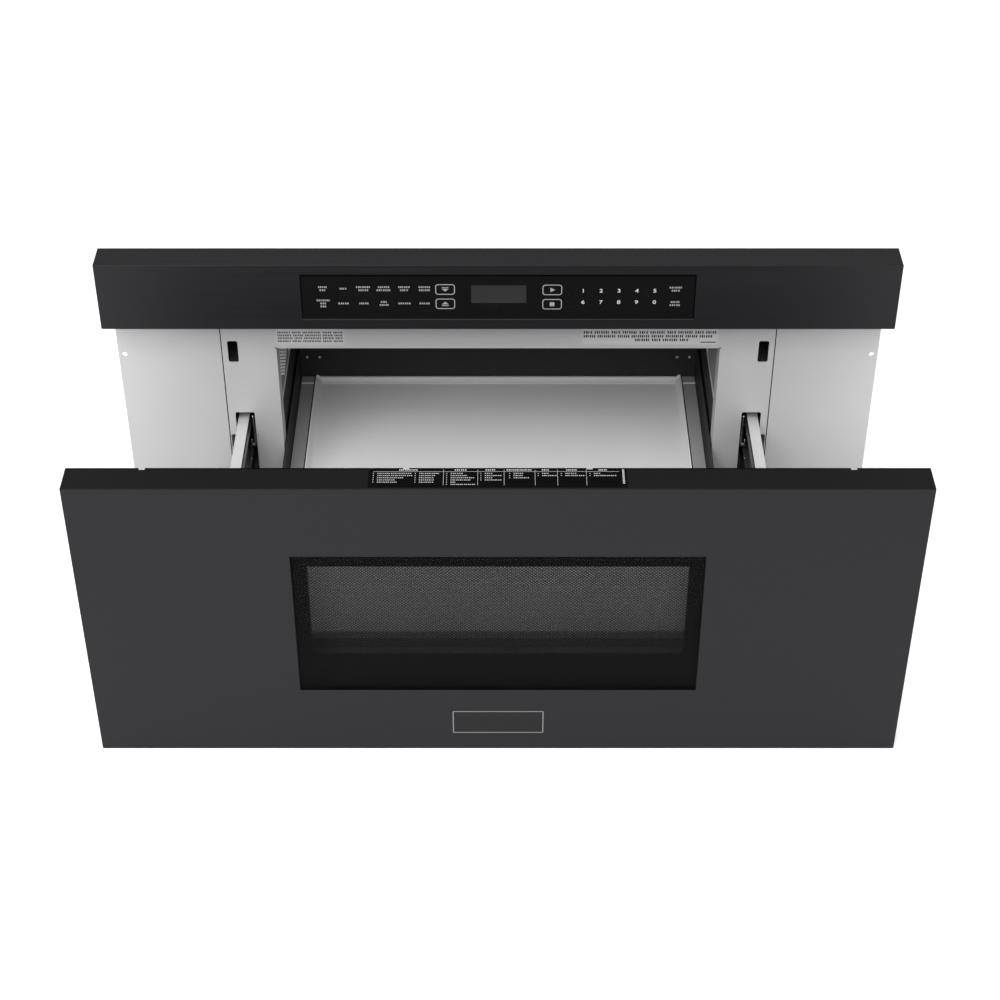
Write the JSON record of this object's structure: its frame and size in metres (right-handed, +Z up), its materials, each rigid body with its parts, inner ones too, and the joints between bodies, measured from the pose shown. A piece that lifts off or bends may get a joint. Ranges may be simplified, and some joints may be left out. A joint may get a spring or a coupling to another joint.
{
  "type": "microwave drawer",
  "caption": "Built-in microwave oven whose front pulls out as a drawer on motorised telescopic slides, with a touch panel above, a window and a tray inside.",
  "frame": {"origin": "front middle of the chassis's underside: at the height of the cabinet's shelf, in the plane of the cabinet's face and on the middle plane", "axes": "+X to the right seen from the front, +Y towards the back, +Z up; the drawer opens along -Y"},
  "size_m": [0.759, 0.8552, 0.402],
  "materials": {
    "front_metal": "satin brushed, dark graphite",
    "plate_steel": "satin light grey",
    "zinc_sheet": "zinc coated sheet",
    "cavity_black": "dark satin coating",
    "black_glass": "polished black",
    "window_glass": "polished, tinted",
    "tray_ceramic": "light grey, gloss",
    "slide_steel": "rolled steel",
    "bracket_steel": "light grey",
    "screen_steel": "perforated sheet, grey",
    "black_plastic": "moulded, matt",
    "white_plastic": "moulded, matt",
    "badge_metal": "dark with bright outline",
    "board_green": "circuit board",
    "motor_steel": "zinc coated",
    "magnetron_metal": "pressed sheet and fins",
    "core_steel": "varnished laminations",
    "mica": "mica board",
    "screw_zinc": "zinc plated"
  },
  "bodies": {
    "chassis": {"base_pan": "zinc_sheet", "outer_cover": "zinc_sheet", "rear_panel": "zinc_sheet", "front_plate": "plate_steel", "wing_left": "plate_steel", "wing_right": "plate_steel", "cavity_liner": "cavity_black", "vent_plates": "plate_steel", "stirrer_cover": "mica", "panel_skin": "front_metal", "touch_glass": "black_glass", "display_board": "board_green", "panel_frame": "black_plastic", "slide_fixed_left": "slide_steel", "slide_fixed_right": "slide_steel", "slide_supports": "zinc_sheet", "drive_motor": "motor_steel", "shaft_bearings": "zinc_sheet", "interlock_switch_left": "black_plastic", "interlock_switch_right": "black_plastic", "waveguide": "zinc_sheet", "stirrer_motor": "motor_steel", "magnetron": "magnetron_metal", "thermal_cutout": "white_plastic", "hv_transformer": "core_steel", "hv_capacitor": "magnetron_metal", "fan_housing": "white_plastic", "fan_motor": "motor_steel", "air_duct": "white_plastic", "power_board": "board_green", "noise_filter": "board_green", "oven_lamp": "zinc_sheet", "steam_sensor": "white_plastic", "supply_inlet": "black_plastic", "rear_screws": "screw_zinc"},
    "drawer": {"drawer_front_skin": "front_metal", "window_glass": "window_glass", "door_frame": "cavity_black", "perforated_screen": "screen_steel", "inner_window": "window_glass", "choke_cover": "black_plastic", "badge_plate": "badge_metal", "latch_hooks": "black_plastic", "drawer_pan": "cavity_black", "glass_tray": "tray_ceramic", "slide_inner_left": "slide_steel", "slide_inner_right": "slide_steel", "rail_bracket_left": "bracket_steel", "rail_bracket_right": "bracket_steel", "racks": "white_plastic"},
    "slide_middle_left": {"slide_middle_left": "slide_steel"},
    "slide_middle_right": {"slide_middle_right": "slide_steel"},
    "cross_shaft": {"drive_shaft": "slide_steel", "pinions": "white_plastic", "drive_wheel": "white_plastic"},
    "motor_gear": {"motor_gear": "white_plastic"},
    "fan": {"fan_blade": "white_plastic"},
    "stirrer": {"stirrer_blade": "magnetron_metal"},
    "lever_left": {"interlock_lever_left": "white_plastic"},
    "lever_right": {"interlock_lever_right": "white_plastic"}
  },
  "joints": [
    {"name": "drawer_slide", "type": "slide", "parent": "chassis", "child": "drawer", "axis": [0, -1, 0], "range_m": [-0.2322, 0.1488]},
    {"name": "slide_left", "type": "slide", "parent": "chassis", "child": "slide_middle_left", "axis": [0, -1, 0], "range_m": [-0.1161, 0.0744]},
    {"name": "slide_right", "type": "slide", "parent": "chassis", "child": "slide_middle_right", "axis": [0, -1, 0], "range_m": [-0.1161, 0.0744]},
    {"name": "shaft_turn", "type": "hinge", "parent": "chassis", "child": "cross_shaft", "pos_m": [0, 0.034, 0.038], "axis": [1, 0, 0], "range_deg": [-740.5, 475]},
    {"name": "motor_turn", "type": "hinge", "parent": "chassis", "child": "motor_gear", "pos_m": [0.07, 0.0685, 0.038], "axis": [1, 0, 0], "range_deg": [-1084.5, 1691.5]},
    {"name": "fan_spin", "type": "hinge", "parent": "chassis", "child": "fan", "pos_m": [0.15, 0.56, 0.15], "axis": [0, 1, 0], "continuous": true},
    {"name": "stirrer_spin", "type": "hinge", "parent": "chassis", "child": "stirrer", "pos_m": [0, 0.215, 0.29], "axis": [0, 0, 1], "continuous": true},
    {"name": "lever_left_pivot", "type": "hinge", "parent": "chassis", "child": "lever_left", "pos_m": [-0.2605, 0.02955, 0.27935], "axis": [1, 0, 0], "range_deg": [0, 10], "stiffness_Nm_per_rad": 0.02},
    {"name": "lever_right_pivot", "type": "hinge", "parent": "chassis", "child": "lever_right", "pos_m": [0.2605, 0.02955, 0.27935], "axis": [1, 0, 0], "range_deg": [0, 10], "stiffness_Nm_per_rad": 0.02}
  ],
  "couplings": [
    {"joint": "slide_left", "follows": "drawer_slide", "ratio": 0.5},
    {"joint": "slide_right", "follows": "drawer_slide", "ratio": 0.5},
    {"joint": "shaft_turn", "follows": "drawer_slide", "rad_per_m": 55.556},
    {"joint": "motor_turn", "follows": "drawer_slide", "rad_per_m": -126.98}
  ]
}
